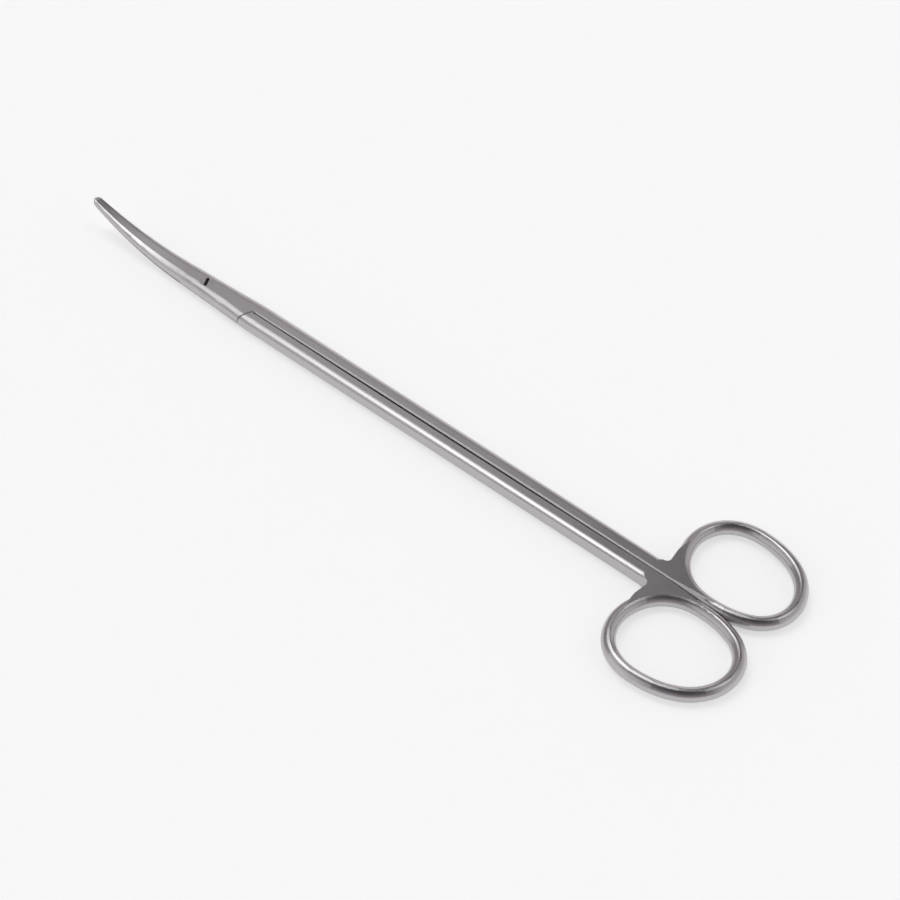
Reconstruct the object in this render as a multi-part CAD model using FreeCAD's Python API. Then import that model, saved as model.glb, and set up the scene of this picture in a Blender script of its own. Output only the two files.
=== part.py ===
# Curved dissecting scissors, 230 mm long, closed, lying on the flat underside.
# The origin is on the pivot axis at the underside. +X points to the tips, +Y to the ring of
# the lower limb, and +Z up, the way the tips curve.
import FreeCAD, Part
import math
import os

V = FreeCAD.Vector
X_AXIS = V(1, 0, 0)
Y_AXIS = V(0, 1, 0)
Z_AXIS = V(0, 0, 1)

# Thickness of each limb where it is not halved
thickness = 4.0

# Pair of shanks, closed: half the width over both limbs
joint_half_width = 4.5
handle_half_width = 3.7
joint_end_x = -24.0
shank_end_x = -151.4
runout_length = 1.1
joint_gap = 0.2
web_gap = 0.12
shank_bow = 0.15
inner_chamfer = 0.28

# Outer long edges: a low crown leaves the flat and meets a rounded corner of the side
crown_turn = 30.0
joint_crown = 1.75
joint_corner = 1.3
handle_crown = 1.3
handle_corner = 0.5
runout_crown = 0.3
runout_corner = 0.12

# Blades, ahead of the pivot
tip_x = 46.2
tip_half_width = 1.5
tip_thickness = 1.9
tip_crown = 0.4
tip_corner = 0.3
side_lean = 24.0
side_lean_start_x = -20.0
side_lean_full_x = -6.0
width_taper_power = 1.78
thickness_taper_power = 1.25
taper_start_x = 4.0
nose_length = 1.5
nose_end_turn = 72.0
bend_start_x = 10.0
bend_radius = 100.0

# Lap joint: where each limb's flat half ends against the other limb's shoulder
shoulder_outer_x = -16.6
shoulder_inner_x = -18.1
shoulder_fillet = 0.9
shoulder_clearance = 0.26
lap_clearance = 0.10
lap_front_x = 7.0

# Shear faces of the blades lean away from each other behind the cutting edges
shear_lean = 0.025
shear_clearance = 0.02

# Pivot screw
neck_radius = 1.05
head_radius = 1.6
head_height = 0.9
neck_clearance = 0.04
head_clearance = 0.02
seat_clearance = 0.05
slot_width = 0.95
slot_depth = 0.55
slot_turn = 30.0

# Finger rings: the middle line of each ring in plan, as a radius about the ring's centre
ring_centre_x = -168.45
ring_centre_y = 13.7
ring_radius = 13.5
ring_oval = 1.23
ring_tilt = 13.0
ring_egg = 0.22
ring_egg_turn = 183.0
ring_square = 0.17
ring_square_turn = 34.0
ring_forward = 0.24
ring_inward = 0.18
ring_points = 7

# Finger rings: the bar's section
ring_width = 3.4
ring_height = 3.8

# Flat web between each shank and its ring
web_front_x = -154.2
web_neck_x = -153.4
web_neck_y = 8.9
web_neck_radius = 8.0
crotch_radius = 1.3
groove_end_depth = 1.3
groove_growth_x = -158.0

# Sections of the lofts
joint_section_count = 5
blade_section_count = 9
nose_section_count = 5
shank_section_count = 5

mid_z = thickness / 2
joint_gap_half = joint_gap / 2
web_gap_half = web_gap / 2
web_start_x = shank_end_x - runout_length
cut_end_x = joint_end_x - thickness / 4


def box(x0, x1, y0, y1, z0, z1):
    return Part.makeBox(x1 - x0, y1 - y0, z1 - z0, V(x0, y0, z0))


def prism(edges, z0, z1):
    """Solid over a closed outline drawn at z = 0."""
    face = Part.Face(Part.Wire(edges))
    face.translate(V(0, 0, z0))
    return face.extrude(V(0, 0, z1 - z0))


def mirrored(shape):
    """The same form on the other side of the parting plane."""
    return shape.mirror(V(0, 0, 0), Y_AXIS)


# Blade and shank sizes along X
def half_width(x):
    share = (x - joint_end_x) / (tip_x - joint_end_x)
    return joint_half_width - (joint_half_width - tip_half_width) * share ** width_taper_power


def pair_thickness(x):
    share = max(0.0, (x - taper_start_x) / (tip_x - taper_start_x))
    return thickness - (thickness - tip_thickness) * share ** thickness_taper_power


def blade_edge(x):
    """Crown and corner of the long edges, from the joint to the tips."""
    share = max(0.0, (x - taper_start_x) / (tip_x - taper_start_x)) ** thickness_taper_power
    crown = joint_crown + (tip_crown - joint_crown) * share
    corner = joint_corner + (tip_corner - joint_corner) * share
    return crown, corner


def rise(x):
    """Height of the bent middle surface above its flat part."""
    along = max(0.0, x - bend_start_x)
    return bend_radius - math.sqrt(bend_radius ** 2 - along ** 2)


def lean_at(x):
    """How far the sides lean in above and below the middle surface, in degrees."""
    share = (x - side_lean_start_x) / (side_lean_full_x - side_lean_start_x)
    share = max(0.0, min(1.0, share))
    return side_lean * share * share * (3 - 2 * share)


def edge_size(crown, corner, lean=0.0):
    """Reach of a rounded edge across the flat and down the side."""
    turn = math.radians(crown_turn)
    across = crown + corner * (math.cos(math.radians(lean)) - math.sin(turn))
    down = crown * math.tan(turn / 2) + corner * (math.cos(turn) - math.sin(math.radians(lean)))
    return across, down


def rounded_edge(x, y, z, out, up, crown, corner, lean):
    """Crown arc and corner arc from the flat at z to the leaning side's end at y."""
    turn = math.radians(crown_turn)
    side_turn = math.radians(90 - lean)
    across, down = edge_size(crown, corner, lean)
    crown_radius = crown / math.sin(turn)
    corner_in = corner * math.sin(side_turn)
    corner_down = down + corner * math.cos(side_turn)

    def at(radius, centre_in, centre_down, angle):
        inward = centre_in - radius * math.sin(angle)
        below = centre_down - radius * math.cos(angle)
        return V(x, y - out * inward, z - up * below)

    start, middle, crest = [at(crown_radius, across, crown_radius, turn * share) for share in (0, 0.5, 1)]
    half_turn = (turn + side_turn) / 2
    corner_middle, side = [at(corner, corner_in, corner_down, angle) for angle in (half_turn, side_turn)]
    return [Part.Arc(start, middle, crest).toShape(), Part.Arc(crest, corner_middle, side).toShape()]


def section(x, y0, y1, z0, z1, rounded_y0, crown, corner, lean=0.0):
    """Closed outline across X. The edges at y1 are rounded, and those at y0 are rounded too
    or chamfered. The sides lean in above and below the middle when both are rounded."""
    edges = []
    ends = []
    across, down = edge_size(crown, corner, lean)
    lean_in = ((z1 - z0) / 2 - down) * math.tan(math.radians(lean))
    for y, z, out, up in [(y0, z0, -1, -1), (y1, z0, 1, -1), (y1, z1, 1, 1), (y0, z1, -1, 1)]:
        if rounded_y0 or out > 0:
            run = rounded_edge(x, y - out * lean_in, z, out, up, crown, corner, lean)
        else:
            flat_end = V(x, y - out * inner_chamfer, z)
            run = [Part.makeLine(flat_end, V(x, y, z - up * inner_chamfer))]
        first = run[0].Vertexes[0].Point
        last = run[-1].Vertexes[-1].Point
        if out * up > 0:
            run = run[::-1]
            first, last = last, first
        edges.append(run)
        ends.append((first, last))
    outline = []
    for index in range(4):
        outline.extend(edges[index])
        last, first = ends[index][1], ends[(index + 1) % 4][0]
        if rounded_y0 and index % 2:
            widest = V(x, y1 if index == 1 else y0, (z0 + z1) / 2)
            outline.append(Part.makeLine(last, widest))
            outline.append(Part.makeLine(widest, first))
        else:
            outline.append(Part.makeLine(last, first))
    return Part.Wire(outline)


def pair_section(x, share=1.0):
    """Outline over both closed limbs; share draws it in at the nose."""
    half = half_width(x) * share
    tall = pair_thickness(x) * (0.5 + 0.5 * share) / 2
    crown, corner = blade_edge(x)
    lean = lean_at(x) * share
    across, down = edge_size(crown, corner, lean)
    across += (tall - down) * math.tan(math.radians(lean))
    fit = min(1.0, 0.9 * half / across, 0.9 * tall / down)
    middle = mid_z + rise(x)
    return section(x, -half, half, middle - tall, middle + tall, True, crown * fit, corner * fit, lean)


def closed_front():
    """Both limbs together, from the lap joint to the tips."""
    joint = [pair_section(x) for x in spaced(joint_end_x, taper_start_x, joint_section_count)]
    blade = [pair_section(x) for x in spaced(taper_start_x, tip_x - nose_length, blade_section_count)]
    nose = []
    for turn in spaced(0, nose_end_turn, nose_section_count):
        x = tip_x - nose_length + nose_length * math.sin(math.radians(turn))
        nose.append(pair_section(x, math.cos(math.radians(turn))))
    spans = [Part.makeLoft(sections, True, False) for sections in (joint, blade, nose)]
    return spans[0].fuse(spans[1:])


def spaced(first, last, count):
    return [first + (last - first) * index / (count - 1) for index in range(count)]


def rounded_outline(points, radii):
    """Edges of a closed outline; each corner is rounded by its radius, or sharp at 0."""
    count = len(points)
    firsts = []
    lasts = []
    arcs = []
    for index in range(count):
        corner = points[index]
        if radii[index] == 0:
            firsts.append(corner)
            lasts.append(corner)
            arcs.append(None)
            continue
        to_last = (points[index - 1] - corner).normalize()
        to_next = (points[(index + 1) % count] - corner).normalize()
        half_angle = to_last.getAngle(to_next) / 2
        trim = radii[index] / math.tan(half_angle)
        inward = (to_last + to_next).normalize()
        middle = corner + inward * (radii[index] / math.sin(half_angle) - radii[index])
        first = corner + to_last * trim
        last = corner + to_next * trim
        firsts.append(first)
        lasts.append(last)
        arcs.append(Part.Arc(first, middle, last).toShape())
    edges = []
    for index in range(count):
        if arcs[index]:
            edges.append(arcs[index])
        edges.append(Part.makeLine(lasts[index], firsts[(index + 1) % count]))
    return edges


# Lap joint
def shoulder_x(y):
    """Place of the shoulder line at a distance from the parting plane."""
    slope = (shoulder_outer_x - shoulder_inner_x) / joint_half_width
    return shoulder_inner_x + slope * y


def lap_plan(z0, z1):
    """Over the upper limb's flat half: full width ahead of the shoulder, its own side behind."""
    side = 2 * joint_half_width
    corners = [
        V(tip_x + nose_length, -side, 0),
        V(tip_x + nose_length, side, 0),
        V(shoulder_x(side), side, 0),
        V(shoulder_x(-joint_gap_half), -joint_gap_half, 0),
        V(cut_end_x, -joint_gap_half, 0),
        V(cut_end_x, -side, 0),
    ]
    return prism(rounded_outline(corners, [0, 0, 0, shoulder_fillet, 0, 0]), z0, z1)


def shoulder_plan(z0, z1):
    """Over the lower limb's full-height stretch behind the shoulder."""
    side = 2 * joint_half_width
    back = -shoulder_clearance
    corners = [
        V(cut_end_x, joint_gap_half, 0),
        V(shoulder_x(joint_gap_half) + back, joint_gap_half, 0),
        V(shoulder_x(side) + back, side, 0),
        V(cut_end_x, side, 0),
    ]
    return prism(rounded_outline(corners, [0, shoulder_fillet, 0, 0]), z0, z1)


def shear_height(x, y, away):
    """Height of a blade's inner face: away is -1 for the upper blade and 1 for the lower."""
    half = half_width(min(x, tip_x))
    opening = shear_clearance + shear_lean * (half - away * y)
    return mid_z + rise(x) - away * opening


def inner_side(away):
    """Solids on the inner side of a limb's lap face and of its blade's shear face."""
    far_y = 2 * joint_half_width
    far_z = away * (rise(tip_x) + 2 * thickness)
    sections = []
    for x in spaced(lap_front_x, tip_x + nose_length, blade_section_count):
        left = V(x, -far_y, shear_height(x, -far_y, away))
        right = V(x, far_y, shear_height(x, far_y, away))
        sections.append(Part.makePolygon([left, right, V(x, far_y, far_z), V(x, -far_y, far_z), left]))
    lap_z = mid_z - away * lap_clearance / 2
    lap = box(cut_end_x, lap_front_x, -far_y, far_y, min(lap_z, far_z), max(lap_z, far_z))
    return [Part.makeLoft(sections, True, False), lap]


def groove_outline(x, depth):
    return Part.makePolygon([V(x, -depth, 0), V(x, depth, 0), V(x, 0, depth), V(x, -depth, 0)])


def parting_groove(x0, depth0, x1, depth1):
    """Chamfers on both limbs' inner edges, above and below."""
    groove = Part.makeLoft([groove_outline(x0, depth0), groove_outline(x1, depth1)], True, True)
    upper = groove.mirror(V(0, 0, mid_z), Z_AXIS)
    return groove.fuse(upper)


# Shanks
def gap_half(x):
    """Half the gap between the shanks, which bow apart."""
    share = min(1.0, (joint_end_x - x) / (joint_end_x - shank_end_x))
    straight = joint_gap_half + (web_gap_half - joint_gap_half) * share
    return straight + shank_bow * (1 - (2 * share - 1) ** 2)


def shank_section(x, crown, corner):
    """Outline over the lower limb's shank."""
    share = min(1.0, (joint_end_x - x) / (joint_end_x - shank_end_x))
    half = joint_half_width - (joint_half_width - handle_half_width) * share
    return section(x, gap_half(x), half, 0, thickness, False, crown, corner)


def shank():
    """Lower limb's shank, from the lap joint to the web of its ring."""
    sections = []
    for share in spaced(0, 1, shank_section_count):
        x = joint_end_x + (shank_end_x - joint_end_x) * share
        crown = joint_crown + (handle_crown - joint_crown) * share
        corner = joint_corner + (handle_corner - joint_corner) * share
        sections.append(shank_section(x, crown, corner))
    long_part = Part.makeLoft(sections, True, False)
    handle_end = shank_section(shank_end_x, handle_crown, handle_corner)
    web_end = shank_section(web_start_x, runout_crown, runout_corner)
    return long_part.fuse(Part.makeLoft([handle_end, web_end], True, True))


# Finger rings
def ring_point(angle):
    """Point on the ring's middle line in plan."""
    turn = math.radians(angle)
    radius = ring_radius + ring_oval * math.cos(2 * (turn - math.radians(ring_tilt)))
    radius += ring_egg * math.cos(3 * turn - math.radians(ring_egg_turn))
    radius += ring_square * math.cos(4 * turn - math.radians(4 * ring_square_turn))
    radius += ring_forward * math.cos(turn) - ring_inward * math.sin(turn)
    return V(ring_centre_x + radius * math.cos(turn), ring_centre_y + radius * math.sin(turn), 0)


def ring_way(angle):
    """Direction of the middle line at a point."""
    return (ring_point(angle + 0.5) - ring_point(angle - 0.5)).normalize()


def arc_from(start, way, last):
    """Centre, start and turn of the arc that leaves start along way and ends at last."""
    left = V(-way.y, way.x, 0)
    chord = last - start
    radius = chord.dot(chord) / (2 * left.dot(chord))
    turn = 2 * math.degrees(math.atan2(left.dot(chord), way.dot(chord)))
    return start + left * radius, start, turn


def ring_arcs():
    """The middle line as pairs of smooth arcs between points of it."""
    arcs = []
    for index in range(ring_points):
        angles = [360.0 * step / ring_points for step in (index, index + 1)]
        first, last = [ring_point(angle) for angle in angles]
        first_way, last_way = [ring_way(angle) for angle in angles]
        chord = last - first
        along = chord.dot(first_way + last_way)
        bend = 2 * (1 - first_way.dot(last_way))
        reach = (math.sqrt(along ** 2 + bend * chord.dot(chord)) - along) / bend
        near = first + first_way * reach
        far = last - last_way * reach
        middle = (near + far) * 0.5
        arcs.append(arc_from(first, first_way, middle))
        arcs.append(arc_from(middle, (far - near).normalize(), last))
    return arcs


def ring_outline(inset):
    """The middle line as edges, moved towards the finger hole by inset."""
    edges = []
    for centre, start, turn in ring_arcs():
        radius = (start - centre).Length - inset
        first = math.atan2(start.y - centre.y, start.x - centre.x)
        last = first + math.radians(turn)
        edges.append(Part.Arc(Part.Circle(centre, Z_AXIS, radius), first, last).toShape())
    return edges


def ring_bar():
    """Ring of the lower limb: a round bar, a little flatter towards the finger."""
    half = ring_height / 2
    crest = ring_width / 2 - half
    pieces = []
    for centre, start, turn in ring_arcs():
        outward = (start - centre).normalize()
        middle = start + V(0, 0, mid_z)
        top = middle + outward * crest + V(0, 0, half)
        bottom = middle + outward * crest - V(0, 0, half)
        outside = Part.Arc(top, middle + outward * (ring_width / 2), bottom).toBSpline().toShape()
        inside = Part.Arc(bottom, middle - outward * (ring_width / 2), top).toBSpline().toShape()
        pieces.append(Part.Face(Part.Wire([outside, inside])).revolve(centre, Z_AXIS, turn))
    return pieces[0].fuse(pieces[1:])


def ring_web():
    """Flat web that joins shank and ring, out to the ring's crest line."""
    hub = V(ring_centre_x, ring_centre_y, 0)
    corners = [
        V(web_start_x, web_gap_half, 0),
        V(web_start_x, handle_half_width, 0),
        V(web_front_x, handle_half_width, 0),
        V(web_neck_x, web_neck_y, 0),
        V(web_front_x, ring_centre_y, 0),
        hub,
        V(ring_centre_x, web_gap_half, 0),
    ]
    radii = [0, 0, crotch_radius, web_neck_radius, 0, 0, 0]
    return prism(rounded_outline(corners, radii), 0, thickness)


def handle():
    """Ring, web and shank of the lower limb."""
    crest_inset = (ring_height - ring_width) / 2
    hole = prism(ring_outline(crest_inset), 0, thickness)
    far = 2 * ring_radius
    own_side = box(ring_centre_x - far, ring_centre_x + far, web_gap_half, ring_centre_y + far, 0, thickness)
    bar = ring_bar().common(own_side)
    chamfer = web_gap_half + inner_chamfer
    straight = parting_groove(groove_growth_x, chamfer, web_start_x, chamfer)
    growing = parting_groove(ring_centre_x - thickness / 4, groove_end_depth, groove_growth_x, chamfer)
    web = ring_web().cut(hole).cut(straight).cut(growing)
    return shank().fuse([web, bar])


# Blades and lap joint, cut from the closed front
def limb_front(front, away):
    """One limb's share of the front: its halved part ahead of the shoulder and its full
    height on its own side behind."""
    far_z = rise(tip_x) + 2 * thickness
    halved = lap_plan(-far_z, far_z)
    behind = mirrored(shoulder_plan(-far_z, far_z))
    if away > 0:
        halved = mirrored(halved)
        behind = mirrored(behind)
    blade = front
    for cutter in inner_side(away):
        blade = blade.cut(cutter)
    chamfer = joint_gap_half + inner_chamfer
    groove = parting_groove(cut_end_x, chamfer, shoulder_inner_x - shoulder_fillet, chamfer)
    return blade.common(halved).fuse(front.common(behind)).cut(groove)


# Pivot screw
def screw():
    """Slotted flush head and plain neck; its lower end is level with the underside."""
    head = Part.makeCylinder(head_radius, head_height, V(0, 0, thickness - head_height))
    neck = Part.makeCylinder(neck_radius, thickness)
    far_y = 2 * head_radius
    slot = box(-slot_width / 2, slot_width / 2, -far_y, far_y, thickness - slot_depth, 2 * thickness)
    slot.rotate(V(0, 0, 0), Z_AXIS, slot_turn)
    return head.fuse(neck).removeSplitter().cut(slot)


def upper_bore():
    """Stepped bore in the upper limb, which turns on the neck under the head."""
    seat_z = thickness - head_height - seat_clearance
    seat = Part.makeCylinder(head_radius + head_clearance, thickness, V(0, 0, seat_z))
    bore = Part.makeCylinder(neck_radius + neck_clearance, 2 * thickness, V(0, 0, -thickness))
    return seat.fuse(bore)


def upper_limb(front, lower_handle):
    limb = limb_front(front, -1).fuse(mirrored(lower_handle))
    return limb.removeSplitter().cut(upper_bore())


def lower_limb(front, lower_handle):
    limb = limb_front(front, 1).fuse(lower_handle)
    thread = Part.makeCylinder(neck_radius, 2 * thickness, V(0, 0, -thickness / 2))
    return limb.removeSplitter().cut(thread)


closed_pair = closed_front()
ring_side = handle()
nodes = {
    "upper_limb": upper_limb(closed_pair, ring_side),
    "lower_limb": lower_limb(closed_pair, ring_side),
    "pivot_screw": screw(),
}

os.makedirs("parts", exist_ok=True)
for name, shape in nodes.items():
    solid = shape.Solids[0]
    solid.exportStep("parts/" + name + ".step")
    limits = solid.optimalBoundingBox(False, False)
    print(name, "solids", len(shape.Solids), "valid", solid.isValid(), "volume", round(solid.Volume, 2))
    print("  X", round(limits.XMin, 3), round(limits.XMax, 3), "Y", round(limits.YMin, 3),
          round(limits.YMax, 3), "Z", round(limits.ZMin, 3), round(limits.ZMax, 3))
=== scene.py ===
# Looks of the curved dissecting scissors: satin steel, studio light and the photo's camera.
import math

import bpy
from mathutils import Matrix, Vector

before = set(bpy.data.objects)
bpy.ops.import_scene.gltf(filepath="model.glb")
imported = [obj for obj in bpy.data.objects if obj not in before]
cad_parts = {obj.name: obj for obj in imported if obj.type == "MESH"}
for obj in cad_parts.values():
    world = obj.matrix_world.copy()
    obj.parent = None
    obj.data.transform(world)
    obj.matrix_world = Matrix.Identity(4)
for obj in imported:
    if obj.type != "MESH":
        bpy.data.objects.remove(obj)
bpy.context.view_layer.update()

# Lengths are in metres and angles in degrees, apart from the lens and its sensor, in mm.

# Camera, at the photo's viewing angle
VIEW_AZIMUTH = -138.54
VIEW_ELEVATION = 47.0
VIEW_TARGET = Vector((-0.0912, 0.0017, 0.0020))
VIEW_DISTANCE = 0.3840
LENS_MM = 61.5
SENSOR_MM = 36.0
NEAREST_SEEN = 0.01

# Room: its light falls from the horizon to the zenith
ROOM_ZENITH = 0.04
ROOM_HORIZON = 0.55
ROOM_FALLOFF = 1.3
ROOM_COLOUR = (1.0, 0.90, 1.0)

# Softboxes: the direction each stands in, its strength and the width it is seen at. The keys
# draw the band along the blade and the shank, and far_rim lights the edges that face away.
SOFTBOXES = {
    "key_front": (Vector((0.51, -0.07, 0.86)), 0.32, 34.0),
    "key_back": (Vector((0.30, -0.07, 0.95)), 0.33, 32.0),
    "low_key": (Vector((-0.30, -0.34, 0.89)), 0.12, 24.0),
    "near_fill": (Vector((0.49, 0.72, 0.49)), 0.42, 60.0),
    "far_fill": (Vector((0.57, -0.48, 0.67)), 0.065, 30.0),
    "far_rim": (Vector((0.44, -0.89, 0.10)), 0.20, 40.0),
    "back_fill": (Vector((-0.68, -0.60, 0.42)), 0.50, 80.0),
}

# Floor: its glow shows in the camera and in the steel, and lights nothing else
FLOOR_SIZE = 6.0
FLOOR_COLOUR = (0.80, 0.815, 0.80)
FLOOR_GLOW = 0.49
WHITE = (1.0, 1.0, 1.0)

# Steel: its colour and roughness, and clouds that vary both a little
STEEL_COLOUR = (0.505, 0.493, 0.492)
SCREW_COLOUR = (0.49, 0.478, 0.477)
STEEL_ROUGHNESS = 0.27
ROUGHNESS_SPREAD = 0.10
LOWEST_TONE = 0.97
TONE_SPREAD = 0.06
CLOUD_SCALE = 90.0
CLOUD_DETAIL = 3.0

# Relief: a grain, and brush lines along the shanks that are stretched from the same noise
GRAIN_SCALE = 6500.0
BRUSH_SCALE = 5200.0
BRUSH_STRETCH = (0.06, 1.0, 1.0)
RELIEF_DETAIL = 2.0
BRUSH_SHARE = 0.6
RELIEF_STRENGTH = 0.10
RELIEF_DEPTH = 0.00002

# Polish: the radius that edges look rounded to
POLISH_RADIUS = 0.0002
POLISH_SAMPLES = 8

# Painted shade in the screw's slot, brown-black and oily in tint: on all of the screw that lies
# lower than its ground top
SLOT_SHADE_AND_OIL_COLOUR = (0.050, 0.032, 0.028)
SLOT_TOP = 0.00392
SLOT_ADDED_ROUGHNESS = 0.5


class Socket:
    """A node's output socket with arithmetic, each step a Math node."""

    def __init__(self, tree, link):
        self.tree = tree
        self.link = link

    def _math(self, operation, *values):
        return self.tree.node("ShaderNodeMath", {"operation": operation}, dict(enumerate(values)))

    def __add__(self, other):
        return self._math("ADD", self, other)

    def __radd__(self, other):
        return self._math("ADD", other, self)

    def __rsub__(self, other):
        return self._math("SUBTRACT", other, self)

    def __mul__(self, other):
        return self._math("MULTIPLY", self, other)

    def __rmul__(self, other):
        return self._math("MULTIPLY", other, self)

    def power(self, exponent):
        return self._math("POWER", self, exponent)

    def below(self, limit):
        return self._math("LESS_THAN", self, limit)

    def larger(self, other):
        return self._math("MAXIMUM", self, other)


class Tree:
    """The nodes of one material or world."""

    def __init__(self, owner):
        owner.use_nodes = True
        self.nodes = owner.node_tree.nodes
        self.links = owner.node_tree.links
        self.nodes.clear()

    def node(self, kind, settings=None, inputs=None, output=0):
        """Adds a node, sets it up, fills its inputs and returns one output."""
        made = self.nodes.new(kind)
        for name, value in (settings or {}).items():
            setattr(made, name, value)
        for name, value in (inputs or {}).items():
            if isinstance(value, Socket):
                self.links.new(value.link, made.inputs[name])
            else:
                made.inputs[name].default_value = value
        return Socket(self, made.outputs[output]) if made.outputs else None

    def noise(self, place, scale, detail):
        return self.node(
            "ShaderNodeTexNoise", None, {"Vector": place, "Scale": scale, "Detail": detail}
        )

    def mix(self, blend, factor, first, second):
        """Mixes two colours."""
        return self.node(
            "ShaderNodeMix",
            {"data_type": "RGBA", "blend_type": blend},
            {"Factor": factor, "A": first, "B": second},
            output="Result",
        )

    def height_of(self, place):
        return self.node("ShaderNodeSeparateXYZ", None, {"Vector": place}, output="Z")


def colour(rgb):
    """A colour with full alpha, as a colour socket takes it."""
    return (*rgb, 1.0)


def steel(name, base, paint_slot_shade_and_oil=False):
    """Fine satin steel: faint clouds, fine grain and short brush lines. With the slot flag,
    painted shade, oily brown in tint, darkens what lies lower than the screw's top."""
    material = bpy.data.materials.new(name)
    tree = Tree(material)
    place = tree.node("ShaderNodeTexCoord", output="Object")

    cloud = tree.noise(place, CLOUD_SCALE, CLOUD_DETAIL)
    tone = LOWEST_TONE + TONE_SPREAD * cloud
    grey = tree.node("ShaderNodeCombineColor", None, {"Red": tone, "Green": tone, "Blue": tone})
    tinted = tree.mix("MULTIPLY", 1.0, colour(base), grey)

    grain = tree.noise(place, GRAIN_SCALE, RELIEF_DETAIL)
    drawn = tree.node("ShaderNodeMapping", None, {"Vector": place, "Scale": BRUSH_STRETCH})
    brush = tree.noise(drawn, BRUSH_SCALE, RELIEF_DETAIL)
    polish = tree.node(
        "ShaderNodeBevel", {"samples": POLISH_SAMPLES}, {"Radius": POLISH_RADIUS}
    )
    relief = tree.node(
        "ShaderNodeBump",
        None,
        {
            "Height": BRUSH_SHARE * brush + (1.0 - BRUSH_SHARE) * grain,
            "Strength": RELIEF_STRENGTH,
            "Distance": RELIEF_DEPTH,
            "Normal": polish,
        },
    )

    inputs = {
        "Base Color": tinted,
        "Metallic": 1.0,
        "Roughness": STEEL_ROUGHNESS - ROUGHNESS_SPREAD / 2 + ROUGHNESS_SPREAD * cloud,
        "Normal": relief,
    }
    if paint_slot_shade_and_oil:
        # Painted shade: what lies lower than the screw's ground top is darkened to a brown-black,
        # oily in tint
        slot_shade_and_oil = tree.height_of(place).below(SLOT_TOP)
        inputs["Base Color"] = tree.mix("MIX", slot_shade_and_oil, tinted, colour(SLOT_SHADE_AND_OIL_COLOUR))
        inputs["Metallic"] = 1.0 - slot_shade_and_oil
        inputs["Roughness"] = STEEL_ROUGHNESS + SLOT_ADDED_ROUGHNESS * slot_shade_and_oil
    shader = tree.node("ShaderNodeBsdfPrincipled", None, inputs)
    tree.node("ShaderNodeOutputMaterial", None, {"Surface": shader})
    return material


def dress(node, material):
    """Gives a CAD node its material."""
    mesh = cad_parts[node].data
    mesh.materials.clear()
    mesh.materials.append(material)


def pale_floor():
    material = bpy.data.materials.new("pale_floor")
    tree = Tree(material)
    matt = tree.node("ShaderNodeBsdfDiffuse", None, {"Color": colour(FLOOR_COLOUR)})
    camera_ray = tree.node("ShaderNodeLightPath", output="Is Camera Ray")
    glossy_ray = tree.node("ShaderNodeLightPath", output="Is Glossy Ray")
    through_ray = tree.node("ShaderNodeLightPath", output="Is Transmission Ray")
    seen = camera_ray.larger(glossy_ray).larger(through_ray)
    glow = tree.node(
        "ShaderNodeEmission", None, {"Color": colour(WHITE), "Strength": seen * FLOOR_GLOW}
    )
    both = tree.node("ShaderNodeAddShader", None, {0: matt, 1: glow})
    tree.node("ShaderNodeOutputMaterial", None, {"Surface": both})
    return material


def lay_floor():
    """Lays the floor under the scissors, at the height they rest on."""
    bpy.ops.mesh.primitive_plane_add(size=FLOOR_SIZE, location=(VIEW_TARGET.x, VIEW_TARGET.y, 0))
    plane = bpy.context.object
    plane.name = "floor"
    plane.data.materials.append(pale_floor())


def light_room():
    """Lights the scene from all round, brightest at the horizon."""
    studio = bpy.data.worlds.new("studio")
    bpy.context.scene.world = studio
    tree = Tree(studio)
    direction = tree.node("ShaderNodeTexCoord", output="Generated")
    above = tree.height_of(direction)
    level = ROOM_ZENITH + ROOM_HORIZON * (1.0 - above).power(ROOM_FALLOFF)
    light = tree.node(
        "ShaderNodeBackground", None, {"Color": colour(ROOM_COLOUR), "Strength": level}
    )
    tree.node("ShaderNodeOutputWorld", None, {"Surface": light})


def hang_softbox(name, direction, strength, width):
    """A sun lamp as wide as a softbox looks, so its place doesn't matter."""
    lamp = bpy.data.lights.new(name, "SUN")
    lamp.energy = strength
    lamp.angle = math.radians(width)
    holder = bpy.data.objects.new(name, lamp)
    holder.rotation_mode = "QUATERNION"
    holder.rotation_quaternion = direction.to_track_quat("Z", "Y")
    bpy.context.collection.objects.link(holder)


def set_camera():
    """Looks at the target from the photo's azimuth, elevation and distance."""
    azimuth = math.radians(VIEW_AZIMUTH)
    elevation = math.radians(VIEW_ELEVATION)
    level = math.cos(elevation)
    back = Vector((math.sin(azimuth) * level, -math.cos(azimuth) * level, math.sin(elevation)))
    data = bpy.data.cameras.new("camera")
    data.lens = LENS_MM
    data.sensor_width = SENSOR_MM
    data.clip_start = NEAREST_SEEN
    holder = bpy.data.objects.new("camera", data)
    holder.location = VIEW_TARGET + back * VIEW_DISTANCE
    holder.rotation_mode = "QUATERNION"
    holder.rotation_quaternion = (-back).to_track_quat("-Z", "Y")
    bpy.context.collection.objects.link(holder)
    bpy.context.scene.camera = holder


satin = steel("satin_steel", STEEL_COLOUR)
dress("upper_limb", satin)
dress("lower_limb", satin)
# The screw's steel, with painted shade in its slot
dress("pivot_screw", steel("screw_steel", SCREW_COLOUR, paint_slot_shade_and_oil=True))
lay_floor()
light_room()
for name, (direction, strength, width) in SOFTBOXES.items():
    hang_softbox(name, direction, strength, width)
set_camera()
bpy.context.scene.view_settings.view_transform = "Standard"
